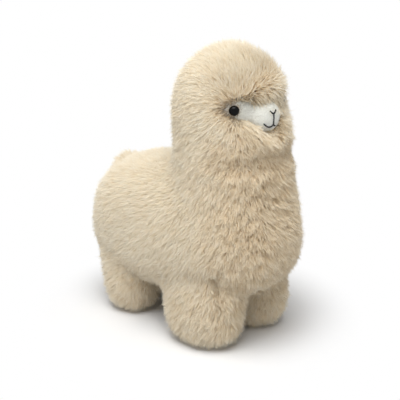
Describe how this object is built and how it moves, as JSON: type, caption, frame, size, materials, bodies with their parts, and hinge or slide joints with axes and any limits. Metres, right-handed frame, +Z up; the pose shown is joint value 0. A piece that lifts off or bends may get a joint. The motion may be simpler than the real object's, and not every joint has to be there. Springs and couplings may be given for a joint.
{
  "type": "stuffed toy alpaca",
  "caption": "Standing stuffed alpaca with a long shaggy cream coat, a thick neck, stub legs, a tuft of a tail and a small white face with bead eyes and a stitched smile.",
  "frame": {"origin": "on the floor, under the middle of the toy's box", "axes": "+Z up, -Y the way the toy faces, +X towards the toy's left side"},
  "size_m": [0.1482, 0.2666, 0.3158],
  "materials": {
    "long_pile_fur": "cream long-pile plush with soft hanging locks",
    "short_pile_face": "white short-pile plush",
    "eye_plastic": "polished black",
    "washer_plastic": "plain white moulding",
    "embroidery_thread": "black stitched thread"
  },
  "bodies": {
    "root": {"body": "long_pile_fur", "front_right_leg": "long_pile_fur", "front_left_leg": "long_pile_fur", "rear_right_leg": "long_pile_fur", "rear_left_leg": "long_pile_fur", "tail": "long_pile_fur", "face": "short_pile_face", "right_eye": "eye_plastic", "left_eye": "eye_plastic", "right_eye_washer": "washer_plastic", "left_eye_washer": "washer_plastic", "nose_and_mouth_stitches": "embroidery_thread"}
  },
  "joints": []
}
